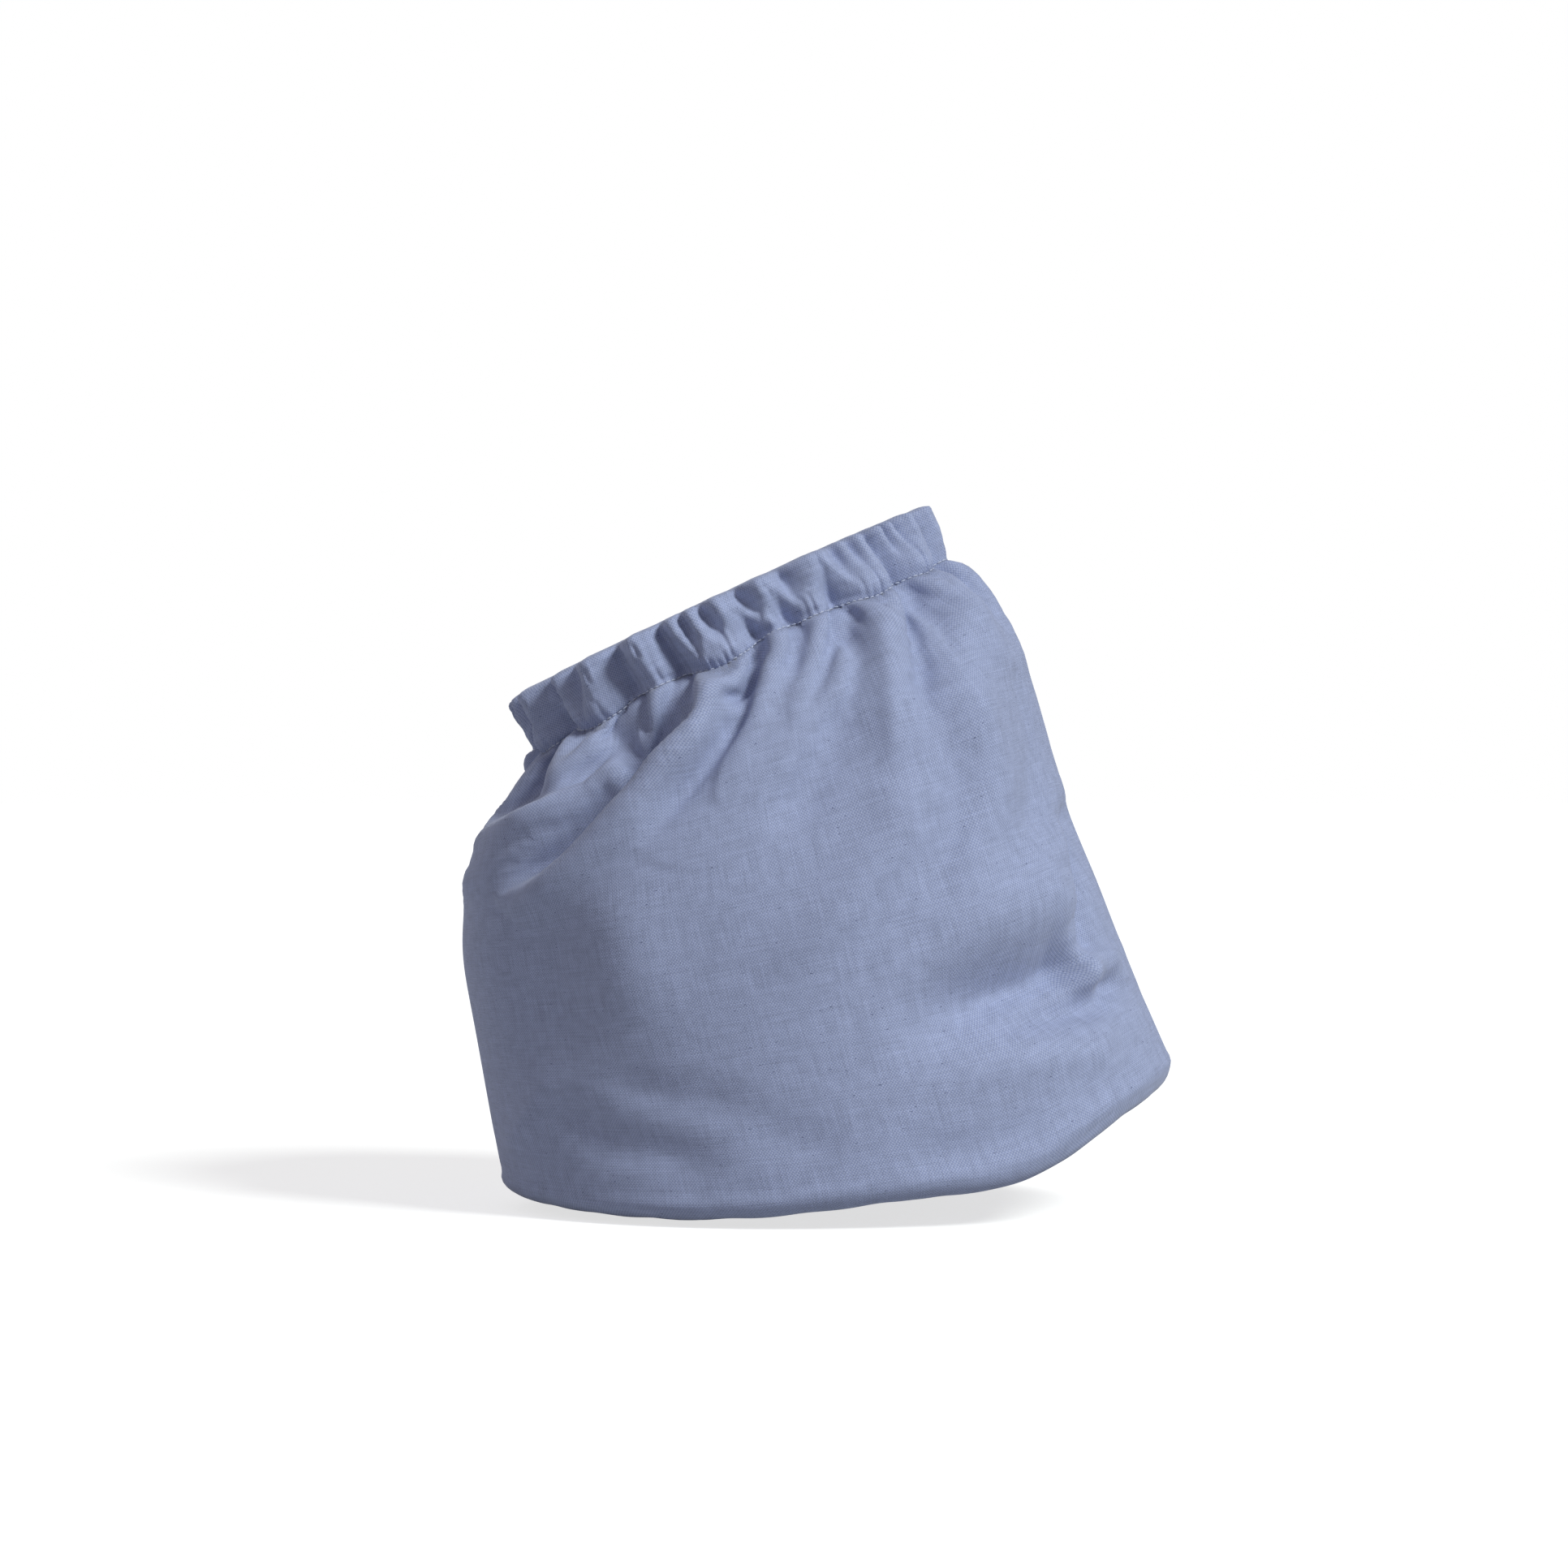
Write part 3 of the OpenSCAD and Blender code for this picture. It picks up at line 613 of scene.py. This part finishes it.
def chambray():
    material, shader = new_material("chambray cotton", 0.85, 0.12)
    cut = add_node(material, "ShaderNodeUVMap", {"uv_map": "cut"}).outputs["UV"]
    parts = add_node(material, "ShaderNodeSeparateXYZ", Vector=cut)
    weft_place = arithmetic(material, "MULTIPLY", parts.outputs["X"], math.pi / THREAD_PITCH)
    warp_place = arithmetic(material, "MULTIPLY", parts.outputs["Y"], math.pi / THREAD_PITCH)
    over_under = arithmetic(material, "MULTIPLY", arithmetic(material, "SINE", weft_place),
                            arithmetic(material, "SINE", warp_place))

    def streaks(scale_x, scale_y, detail):
        stretch = (scale_x, scale_y, 1.0)
        along = add_node(material, "ShaderNodeMapping", Vector=cut, Scale=stretch).outputs[0]
        noise = add_node(material, "ShaderNodeTexNoise", Vector=along, Scale=1.0, Detail=detail)
        return noise.outputs["Fac"]

    warp_tone = streaks(1.9, 0.06, 1.0)
    weft_tone = streaks(0.06, 1.9, 1.0)
    cloud = streaks(0.22, 0.22, 4.0)
    crossing = arithmetic(material, "MULTIPLY_ADD", over_under, 0.5, 0.5)
    thread = blend_colour(material, "MIX", crossing, as_colour(124, 134, 173), as_colour(165, 174, 202))
    tone = arithmetic(material, "ADD", arithmetic(material, "ADD", warp_tone, weft_tone), cloud)
    toned = add_node(material, "ShaderNodeMapRange", Value=tone, From_Min=0.9, From_Max=2.1, To_Min=0.78,
                     To_Max=1.22).outputs[0]
    grey = add_node(material, "ShaderNodeCombineColor", i0=toned, i1=toned, i2=toned).outputs[0]
    woven = blend_colour(material, "MULTIPLY", 1.0, thread, grey)
    slub = add_node(material, "ShaderNodeMapRange", Value=streaks(0.55, 1.5, 0.0), From_Min=0.79,
                    From_Max=0.84, To_Min=0.0, To_Max=0.55).outputs[0]
    material.node_tree.links.new(blend_colour(material, "MIX", slub, woven, as_colour(62, 68, 104)),
                                 shader.inputs["Base Color"])
    rise = arithmetic(material, "MULTIPLY_ADD", arithmetic(material, "ADD", warp_tone, weft_tone), 0.6,
                      arithmetic(material, "ABSOLUTE", over_under))
    bump = add_node(material, "ShaderNodeBump", Height=rise, Strength=0.35, Distance=0.00015)
    material.node_tree.links.new(bump.outputs[0], shader.inputs["Normal"])
    rough = arithmetic(material, "MULTIPLY_ADD", weft_tone, 0.2, 0.74)
    material.node_tree.links.new(rough, shader.inputs["Roughness"])
    return material


def select_only(piece):
    bpy.ops.object.select_all(action="DESELECT")
    piece.select_set(True)
    bpy.context.view_layer.objects.active = piece


def new_piece(name, points, faces, material):
    """A piece from points in metres and faces."""
    mesh = bpy.data.meshes.new(name)
    mesh.from_pydata([tuple(p) for p in points], [], faces)
    mesh.validate()
    piece = bpy.data.objects.new(name, mesh)
    bpy.context.scene.collection.objects.link(piece)
    mesh.materials.append(material)
    mesh.polygons.foreach_set("use_smooth", [True] * len(mesh.polygons))
    return piece


def thicken(piece, thickness, offset):
    solidify = piece.modifiers.new("thickness", "SOLIDIFY")
    solidify.thickness = thickness
    solidify.offset = offset
    select_only(piece)
    bpy.ops.object.modifier_apply(modifier=solidify.name)


def tube_of_cloth(name, rows, reach, material):
    """A closed tube from rows of points, with the cut cloth's own millimetres as its UV map."""
    count, width = rows.shape[:2]
    faces, cut = [], []
    for r in range(count - 1):
        for c in range(width):
            d = (c + 1) % width
            faces.append((r * width + c, (r + 1) * width + c, (r + 1) * width + d, r * width + d))
            left, right = c / width * CLOTH_ROUND, (c + 1) / width * CLOTH_ROUND
            cut += [left, reach[r], left, reach[r + 1], right, reach[r + 1], right, reach[r]]
    piece = new_piece(name, rows.reshape(-1, 3) * MM, faces, material)
    piece.data.uv_layers.new(name="cut").data.foreach_set("uv", cut)
    thicken(piece, CLOTH_THICKNESS, 0.0)
    return piece


cotton = chambray()
# When the neck end is pushed down, the wall gives between these two places
body_rows = slice(NECK_STITCH, SHOULDER_STITCH + 1)
body_panel = tube_of_cloth("body_panel_cloth", cloth[body_rows], cloth_reach[body_rows], cotton)
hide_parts("body_panel")
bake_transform(body_panel)


def casing_cloth(name, rows, reach):
    finer = doubled_along(doubled_round(rows))
    finer_reach = np.interp(np.arange(2 * len(rows) - 1) / 2, np.arange(len(rows)), reach)
    return tube_of_cloth(name, finer, finer_reach, cotton)


neck_rows = slice(0, NECK_STITCH + 1)
neck_casing = casing_cloth("neck_casing_cloth", cloth[neck_rows], cloth_reach[neck_rows])
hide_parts("neck_casing")
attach(neck_casing, "neck_end")

# The shoulder casing
# The other end of the cloth, turned over its elastic in the same way. It is rolled up inside the tube, so
# that the bottom edge shows no stitching.
shoulder_rows = slice(SHOULDER_STITCH, ROWS)
shoulder_casing = casing_cloth("shoulder_casing_cloth", cloth[shoulder_rows], cloth_reach[shoulder_rows])
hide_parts("shoulder_casing")
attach(shoulder_casing, "shoulder_end")

# The elastics
# Two bands of white woven elastic, 15 mm wide, cut shorter than the casings and joined in a ring with the
# ends lapped on the far side. Ribs run along each band.
ELASTIC_WIDTH = 15.0
ELASTIC_THICKNESS = 1.0
ELASTIC_FOOT = 6.0                          # lower edge of the band above the foot of its casing
ELASTIC_LAP = 12.0
ELASTIC_RIBS = 9


def white_elastic():
    material, shader = new_material("white woven elastic", 0.7, 0.1)
    place = add_node(material, "ShaderNodeTexCoord").outputs["Object"]
    fine = add_node(material, "ShaderNodeTexNoise", Vector=place, Scale=900.0, Detail=2.0).outputs["Fac"]
    tone = blend_colour(material, "MIX", fine, as_colour(222, 220, 212), as_colour(244, 243, 238))
    material.node_tree.links.new(tone, shader.inputs["Base Color"])
    bump = add_node(material, "ShaderNodeBump", Height=fine, Strength=0.4, Distance=0.0002)
    material.node_tree.links.new(bump.outputs[0], shader.inputs["Normal"])
    return material


def elastic_point(centre, tilt, half, height, dip, angle, out):
    lean = math.radians(tilt)
    x, y = (half[0] + out) * math.cos(angle), (half[1] + out) * math.sin(angle)
    z = height - dip * math.sin(angle) ** 2
    return np.array([centre[0] + x * math.cos(lean) - z * math.sin(lean), y,
                     centre[2] + x * math.sin(lean) + z * math.cos(lean)])


def elastic_band(name, centre, tilt, half, low, dip):
    """A ribbed band once round the oval, its last stretch lying on its start."""
    steps, across = 220, 4 * ELASTIC_RIBS
    mean = float(half.mean())
    lap_turn = ELASTIC_LAP / mean
    points, faces = [], []
    for s in range(steps + 1):
        angle = math.radians(LAP_ANGLE) - lap_turn / 2 + s / steps * (2 * math.pi + lap_turn)
        lifted = ELASTIC_THICKNESS * ease((s / steps - 1.0) * (2 * math.pi * mean) / 22.0 + 1.6)
        for a in range(across + 1):
            rib = 0.12 * math.cos(2 * math.pi * ELASTIC_RIBS * a / across)
            height = low + ELASTIC_WIDTH * a / across
            points.append(elastic_point(centre, tilt, half, height, dip, angle, 0.14 + lifted + rib))
    row = across + 1
    for s in range(steps):
        for a in range(across):
            faces.append((s * row + a, (s + 1) * row + a, (s + 1) * row + a + 1, s * row + a + 1))
    piece = new_piece(name, np.array(points) * MM, faces, elastic_white)
    thicken(piece, (ELASTIC_THICKNESS - 0.3) * MM, 1.0)
    return piece


elastic_white = white_elastic()
neck_elastic = elastic_band("neck_elastic_band", NECK_CENTRE, NECK_TILT, NECK_HALF,
                            ELASTIC_FOOT - CASING_HEIGHT / 2, 0.0)
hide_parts("neck_elastic")
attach(neck_elastic, "neck_end")
shoulder_elastic = elastic_band("shoulder_elastic_band", ROLL_CENTRE, ROLL_TILT, SHOULDER_HALF,
                                SHOULDER_RISE + ELASTIC_FOOT, ROLL_DIP)
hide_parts("shoulder_elastic")
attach(shoulder_elastic, "shoulder_end")

# The casing stitching
# A lockstitch of pale blue polyester thread goes round each end of the tube and closes its casing. Each
# stitch is a short length of thread that lies on the cloth and dips into it at both ends.
STITCH_PITCH = 2.2
STITCH_LENGTH = 1.85
THREAD_WIDTH = 0.5


def pale_thread():
    material, shader = new_material("pale blue thread", 0.55, 0.2)
    place = add_node(material, "ShaderNodeTexCoord").outputs["Object"]
    fibre = add_node(material, "ShaderNodeTexNoise", Vector=place, Scale=2600.0, Detail=1.0).outputs["Fac"]
    tone = blend_colour(material, "MIX", fibre, as_colour(150, 160, 190), as_colour(206, 212, 228))
    material.node_tree.links.new(tone, shader.inputs["Base Color"])
    bump = add_node(material, "ShaderNodeBump", Height=fibre, Strength=0.5, Distance=0.0001)
    material.node_tree.links.new(bump.outputs[0], shader.inputs["Normal"])
    return material


def one_stitch():
    """The points and faces of one stitch, a millimetre long and a millimetre thick."""
    bpy.ops.object.select_all(action="DESELECT")
    bpy.ops.mesh.primitive_uv_sphere_add(segments=6, ring_count=6, radius=0.5)
    bead = bpy.context.object
    bpy.ops.object.mode_set(mode="EDIT")
    bpy.ops.mesh.select_all(action="SELECT")
    bpy.ops.transform.rotate(value=math.pi / 2, orient_axis="Y", center_override=(0, 0, 0))
    bpy.ops.object.mode_set(mode="OBJECT")
    points = np.array([v.co[:] for v in bead.data.vertices])
    faces = [tuple(f.vertices) for f in bead.data.polygons]
    bpy.data.objects.remove(bead)
    return points, faces


def sewn(name, stitches, material):
    """A row of stitches, each given by its two ends and the way up from the cloth, in millimetres."""
    points, faces = [], []
    for start, end, up in stitches:
        along = end - start
        length = np.linalg.norm(along)
        along = along / length
        up = up - along * (up @ along)
        up = up / np.linalg.norm(up)
        turned = np.stack([along * length, np.cross(up, along) * THREAD_WIDTH, up * THREAD_WIDTH])
        bow = (1 - (2 * stitch_points[:, :1]) ** 2) * 0.12 * up
        faces += [tuple(i + len(points) * len(stitch_points) for i in face) for face in stitch_faces]
        points.append(0.5 * (start + end) + stitch_points @ turned + bow)
    return new_piece(name, np.concatenate(points) * MM, faces, material)


def stitch_row(line, ups, lift):
    """Stitches end to end along a closed line of points."""
    line = np.concatenate([line + ups * lift, (line + ups * lift)[:1]])
    ups = np.concatenate([ups, ups[:1]])
    way = np.concatenate([[0.0], np.cumsum(size(np.diff(line, axis=0)))])
    count = int(way[-1] / STITCH_PITCH)

    def at(values, d):
        return np.array([np.interp(d, way, values[:, k]) for k in range(3)])

    stitches = []
    for s in range(count):
        middle = (s + 0.5) / count * way[-1]
        start, end = (at(line, middle + reach) for reach in (-STITCH_LENGTH / 2, STITCH_LENGTH / 2))
        stitches.append((start, end, at(ups, middle)))
    return stitches


thread = pale_thread()
stitch_points, stitch_faces = one_stitch()
cloth_out = outward(cloth)
thread_lift = 0.5 * CLOTH_THICKNESS / MM + 0.12
neck_line = doubled_round(cloth[NECK_STITCH:NECK_STITCH + 1])[0]
neck_up = doubled_round(cloth_out[NECK_STITCH:NECK_STITCH + 1])[0]
neck_stitching = sewn("neck_stitch_row", stitch_row(neck_line, neck_up, thread_lift), thread)
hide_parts("neck_stitching")
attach(neck_stitching, "neck_end")
shoulder_line = doubled_round(cloth[SHOULDER_STITCH:SHOULDER_STITCH + 1])[0]
shoulder_up = doubled_round(cloth_out[SHOULDER_STITCH:SHOULDER_STITCH + 1])[0]
shoulder_stitches = stitch_row(shoulder_line, shoulder_up, thread_lift)
shoulder_stitching = sewn("shoulder_stitch_row", shoulder_stitches, thread)
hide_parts("shoulder_stitching")
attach(shoulder_stitching, "shoulder_end")

# The elastic tacks
# Where the ends of an elastic lap, two rows of zigzag stitching in the same thread go through both of them
# and make the band a ring. They lie inside the casing.
TACK_ROWS = 2
TACK_ZIGS = 9
TACK_ROW_GAP = 5.0
TACK_ZIG = 1.2
TACK_MARGIN = 1.5                           # from the edges of the elastic


def tack(name, centre, tilt, half, low, dip, body, node):
    stitches = []
    mean = float(half.mean())
    lap = math.radians(LAP_ANGLE)
    surface = 2 * ELASTIC_THICKNESS + 0.1
    out = np.array([math.cos(lap), math.sin(lap), 0.0])
    for side in range(TACK_ROWS):
        corners = []
        for z in range(TACK_ZIGS + 1):
            shift = (side - 0.5) * TACK_ROW_GAP + (TACK_ZIG if z % 2 else -TACK_ZIG)
            height = low + TACK_MARGIN + (ELASTIC_WIDTH - 2 * TACK_MARGIN) * z / TACK_ZIGS
            corners.append(elastic_point(centre, tilt, half, height, dip, lap + shift / mean, surface))
        stitches += [(a, b, out) for a, b in zip(corners[:-1], corners[1:])]
    piece = sewn(name, stitches, thread)
    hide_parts(node)
    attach(piece, body)


tack("neck_elastic_zigzag", NECK_CENTRE, NECK_TILT, NECK_HALF, ELASTIC_FOOT - CASING_HEIGHT / 2, 0.0,
     "neck_end", "neck_elastic_tack")
tack("shoulder_elastic_zigzag", ROLL_CENTRE, ROLL_TILT, SHOULDER_HALF, SHOULDER_RISE + ELASTIC_FOOT,
     ROLL_DIP, "shoulder_end", "shoulder_elastic_tack")

# The side seam
# The two raw edges of the rectangle are sewn together on the inside of the tube, down the far side. They
# stand in as a double strip 8 mm deep, stitched near the wall and overlocked along the raw edges.
SEAM_DEPTH = 8.0
SEAM_STITCH_IN = 2.0
OVERLOCK_WIDTH = 3.0
OVERLOCK_PITCH = 2.4
seam_line = cloth[NECK_STITCH + 2:SHOULDER_STITCH - 1, 0]
seam_in = -plain_out[NECK_STITCH + 2:SHOULDER_STITCH - 1, 0]
for _ in range(6):
    seam_in[1:-1] = 0.25 * seam_in[:-2] + 0.5 * seam_in[1:-1] + 0.25 * seam_in[2:]
seam_in /= size(seam_in)[:, None]
seam_side = np.cross(np.gradient(seam_line, axis=0), seam_in)
seam_side /= size(seam_side)[:, None]
seam_way = np.concatenate([[0.0], np.cumsum(size(np.diff(seam_line, axis=0)))])
seam_sway = 0.5 * np.sin(seam_way / 11.0)


def on_seam(way, depth, side):
    """A point on the seam strip: so far along it, so deep in from the wall, and off to one side."""
    line, inward, aside = (np.array([np.interp(way, seam_way, v[:, k]) for k in range(3)])
                           for v in (seam_line, seam_in, seam_side))
    sway = np.interp(way, seam_way, seam_sway) * (depth / SEAM_DEPTH) ** 2
    return line + inward * depth + aside * (side + sway), aside


def blend_with_wall(piece, node):
    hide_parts(node)
    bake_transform(piece)


seam_steps, depth_steps = 120, 6
strip_points, strip_faces, strip_cut = [], [], []
for layer in (-1, 1):
    first = len(strip_points)
    for s in range(seam_steps + 1):
        for d in range(depth_steps + 1):
            deep = 0.2 + (SEAM_DEPTH - 0.2) * d / depth_steps
            strip_points.append(on_seam(seam_way[-1] * s / seam_steps, deep, layer * 0.28)[0])
    for s in range(seam_steps):
        for d in range(depth_steps):
            a = first + s * (depth_steps + 1) + d
            b = a + depth_steps + 1
            strip_faces.append((a, b, b + 1, a + 1) if layer > 0 else (a, a + 1, b + 1, b))
            corners = ((s, d), (s + 1, d), (s + 1, d + 1), (s, d + 1))
            for step, deep in corners if layer > 0 else (corners[0], corners[3], corners[2], corners[1]):
                strip_cut += [SEAM_DEPTH * deep / depth_steps, seam_way[-1] * step / seam_steps]
seam_allowance = new_piece("seam_strip", np.array(strip_points) * MM, strip_faces, cotton)
seam_allowance.data.uv_layers.new(name="cut").data.foreach_set("uv", strip_cut)
thicken(seam_allowance, CLOTH_THICKNESS * 0.9, 0.0)
blend_with_wall(seam_allowance, "seam_allowance")

seam_stitches = []
for layer in (-1, 1):
    count = int(seam_way[-1] / STITCH_PITCH)
    for s in range(count):
        middle = (s + 0.5) / count * seam_way[-1]
        start, aside = on_seam(middle - STITCH_LENGTH / 2, SEAM_STITCH_IN, layer * 0.68)
        end, aside = on_seam(middle + STITCH_LENGTH / 2, SEAM_STITCH_IN, layer * 0.68)
        seam_stitches.append((start, end, layer * aside))
blend_with_wall(sewn("seam_stitch_row", seam_stitches, thread), "seam_stitching")

overlock = []
count = int(seam_way[-1] / OVERLOCK_PITCH)
for s in range(count):
    here = (s + 0.15) / count * seam_way[-1]
    later = (s + 0.85) / count * seam_way[-1]
    middle = 0.5 * (here + later)
    for layer in (-1, 1):
        root, aside = on_seam(middle, SEAM_DEPTH - OVERLOCK_WIDTH, layer * 0.7)
        edge_here, _ = on_seam(here, SEAM_DEPTH + 0.15, layer * 0.62)
        edge_later, _ = on_seam(later, SEAM_DEPTH + 0.15, layer * 0.62)
        overlock += [(edge_here, root, layer * aside), (root, edge_later, layer * aside)]
    left, _ = on_seam(middle, SEAM_DEPTH + 0.25, -0.7)
    right, _ = on_seam(middle, SEAM_DEPTH + 0.25, 0.7)
    overlock.append((left, right, right - on_seam(middle, 0.0, 0.0)[0]))
blend_with_wall(sewn("seam_overlock_thread", overlock, thread), "seam_overlock")

# The studio
# A plain pale floor and a white background, a broad soft light from the upper right, weaker ones from the
# left and from behind, and a level camera at the side.
FLOOR_Z = float(min(solid_box[0][2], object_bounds()[0][2])) - 0.0004
IMAGE_WIDTH = 0.5313                        # metres across the picture at the middle of the tube
CAMERA_AWAY = 1.5
CAMERA_X, CAMERA_Z = 0.0179, -0.0509


def seen_by_eye(tree):
    """1 for rays that the camera, a mirror or a glass sees, and 0 for those that only light the scene."""
    path = tree.nodes.new("ShaderNodeLightPath")
    total = None
    for ray in ("Is Camera Ray", "Is Glossy Ray", "Is Transmission Ray"):
        if total is None:
            total = path.outputs[ray]
        else:
            most = tree.nodes.new("ShaderNodeMath")
            most.operation = "MAXIMUM"
            tree.links.new(total, most.inputs[0])
            tree.links.new(path.outputs[ray], most.inputs[1])
            total = most.outputs[0]
    return total


bpy.ops.object.select_all(action="DESELECT")
bpy.ops.mesh.primitive_plane_add(size=60.0, location=(0.0, 0.0, FLOOR_Z))
floor = bpy.context.object
floor.name = "studio_floor"
pale = bpy.data.materials.new("pale floor")
pale.use_nodes = True
pale_tree = pale.node_tree
pale_shader = pale_tree.nodes["Principled BSDF"]
pale_shader.inputs["Base Color"].default_value = (0.5, 0.5, 0.5, 1.0)
pale_shader.inputs["Roughness"].default_value = 1.0
pale_shader.inputs["Specular IOR Level"].default_value = 0.0
pale_shader.inputs["Emission Color"].default_value = (1.0, 1.0, 1.0, 1.0)
glow = pale_tree.nodes.new("ShaderNodeMath")
glow.operation = "MULTIPLY"
glow.inputs[1].default_value = 0.70
pale_tree.links.new(seen_by_eye(pale_tree), glow.inputs[0])
pale_tree.links.new(glow.outputs[0], pale_shader.inputs["Emission Strength"])
floor.data.materials.append(pale)

world = bpy.data.worlds.new("studio")
bpy.context.scene.world = world
world.use_nodes = True
sky_tree = world.node_tree
backdrop = sky_tree.nodes["Background"]
sky_mix = sky_tree.nodes.new("ShaderNodeMix")
sky_mix.data_type = "RGBA"
sky_mix.inputs[6].default_value = (0.160, 0.148, 0.160, 1.0)
sky_mix.inputs[7].default_value = (1.0, 1.0, 1.0, 1.0)
sky_tree.links.new(seen_by_eye(sky_tree), sky_mix.inputs[0])
sky_tree.links.new(sky_mix.outputs[2], backdrop.inputs["Color"])


def soft_light(name, strength, spread, colour, direction):
    """A sun with a broad disc, as from a large diffuser."""
    lamp = bpy.data.lights.new(name, "SUN")
    lamp.energy = strength
    lamp.angle = math.radians(spread)
    lamp.color = colour
    holder = bpy.data.objects.new(name, lamp)
    bpy.context.scene.collection.objects.link(holder)
    way = -np.array(direction, float)
    yaw = math.atan2(-way[0], way[1])
    pitch = math.atan2(math.hypot(way[0], way[1]), -way[2])
    holder.rotation_euler = (pitch, 0.0, yaw)


soft_light("key light", 2.95, 16.0, (0.955, 1.0, 0.965), (0.64, -0.61, 0.69))
soft_light("fill light", 0.3, 60.0, (1.0, 0.94, 0.99), (-0.55, -0.8, 0.2))
soft_light("back light", 0.5, 60.0, (1.0, 1.0, 1.0), (-0.6, 0.75, 0.4))

camera = bpy.data.cameras.new("side camera")
camera.angle = 2 * math.atan(0.5 * IMAGE_WIDTH / CAMERA_AWAY)
camera_holder = bpy.data.objects.new("side camera", camera)
camera_holder.location = (CAMERA_X, -CAMERA_AWAY, CAMERA_Z)
camera_holder.rotation_euler = (math.pi / 2, 0.0, 0.0)
bpy.context.scene.collection.objects.link(camera_holder)
bpy.context.scene.camera = camera_holder
bpy.context.scene.view_settings.view_transform = "Standard"
